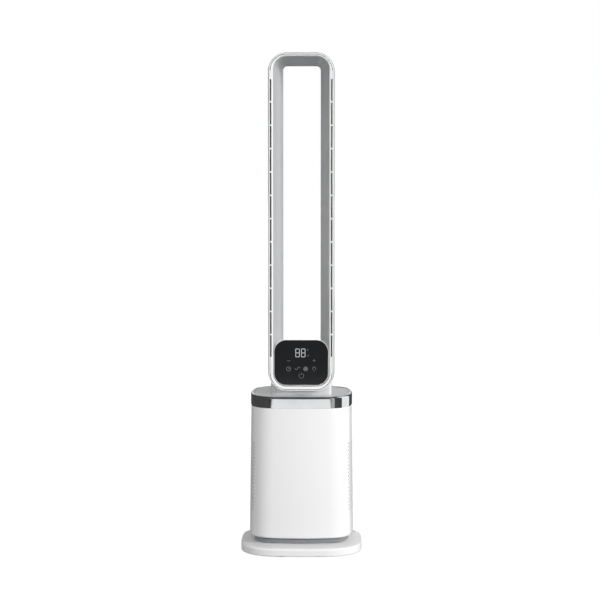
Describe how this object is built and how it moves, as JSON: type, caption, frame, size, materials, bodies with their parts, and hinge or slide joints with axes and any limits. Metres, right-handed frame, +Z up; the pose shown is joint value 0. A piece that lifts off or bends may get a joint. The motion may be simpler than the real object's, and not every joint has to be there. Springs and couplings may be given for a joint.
{
  "type": "air purifier fan",
  "caption": "Bladeless tower fan: tall slotted loop with a touch panel on a square purifier body that swings on a low base; its rear cover and filter pull out.",
  "frame": {"origin": "on the floor under the swivel axis, at the centre of the base", "axes": "+Z up along the swivel axis, -Y to the front where the touch panel is, +X to the right seen from the front"},
  "size_m": [0.246, 0.246, 1.006],
  "materials": {
    "white_plastic": "satin white moulding",
    "silver_plastic": "silver-grey satin paint",
    "chrome": "mirror plated",
    "black_glass": "black-backed polished glass",
    "grey_plastic": "satin grey moulding",
    "dark_plastic": "matt black moulding",
    "natural_plastic": "undyed acetal",
    "rubber": "matt",
    "steel": "zinc plated",
    "board": "green solder mask",
    "paper": "pleated filter paper",
    "fabric": "woven tape"
  },
  "bodies": {
    "base": {"base_plate": "white_plastic", "base_under_cover": "dark_plastic", "rubber_feet": "rubber", "base_screws": "steel", "swivel_spindle": "steel", "spindle_retainer": "steel", "fixed_gear": "natural_plastic", "thrust_ring": "natural_plastic", "power_inlet": "dark_plastic"},
    "tower": {"plinth": "grey_plastic", "plinth_screws": "steel", "swing_motor": "steel", "chassis": "grey_plastic", "main_board": "board", "board_parts": "dark_plastic", "front_shell": "white_plastic", "strike_plates": "steel", "front_right_grille": "white_plastic", "front_left_grille": "white_plastic", "blower_isolator": "rubber", "blower_duct": "dark_plastic", "inlet_bellmouth": "dark_plastic", "stator": "dark_plastic", "hub_fairing": "dark_plastic", "motor": "steel", "motor_bearings": "steel", "chrome_band": "chrome", "deck_plate": "silver_plastic", "neck_collar": "white_plastic", "neck_gasket": "rubber", "loop_outer_shell": "white_plastic", "loop_front_frame": "white_plastic", "loop_liner": "silver_plastic", "pod_tray": "silver_plastic", "control_pod": "white_plastic", "panel_glass": "black_glass", "display_board": "board", "digit_display": "dark_plastic", "touch_pillars": "rubber"},
    "pinion": {"swing_pinion": "natural_plastic"},
    "impeller": {"impeller": "dark_plastic", "motor_shaft": "steel", "impeller_nut": "steel"},
    "rear_cover": {"rear_cover": "white_plastic", "cover_magnets": "steel", "rear_right_grille": "white_plastic", "rear_left_grille": "white_plastic"},
    "filter": {"filter_bottom_cap": "dark_plastic", "filter_top_cap": "dark_plastic", "filter_seal": "rubber", "filter_pleats": "paper", "filter_core": "dark_plastic", "filter_tab": "fabric"}
  },
  "joints": [
    {"name": "oscillation", "type": "hinge", "parent": "base", "child": "tower", "pos_m": [0, 0, 0.031], "axis": [0, 0, 1], "range_deg": [-40, 40]},
    {"name": "pinion_spin", "type": "hinge", "parent": "tower", "child": "pinion", "pos_m": [0, 0.0375, 0.0265], "axis": [0, 0, 1], "range_deg": [-165, 165]},
    {"name": "impeller_spin", "type": "hinge", "parent": "tower", "child": "impeller", "pos_m": [0, 0, 0.262], "axis": [0, 0, 1], "continuous": true},
    {"name": "rear_cover_slide", "type": "slide", "parent": "tower", "child": "rear_cover", "axis": [0, 1, 0], "range_m": [0, 0.3]},
    {"name": "filter_slide", "type": "slide", "parent": "tower", "child": "filter", "axis": [0, 1, 0], "range_m": [0, 0.185]}
  ],
  "couplings": [
    {"joint": "pinion_spin", "follows": "oscillation", "ratio": 4},
    {"joint": "filter_slide", "follows": "rear_cover_slide", "ratio": 0.6}
  ]
}
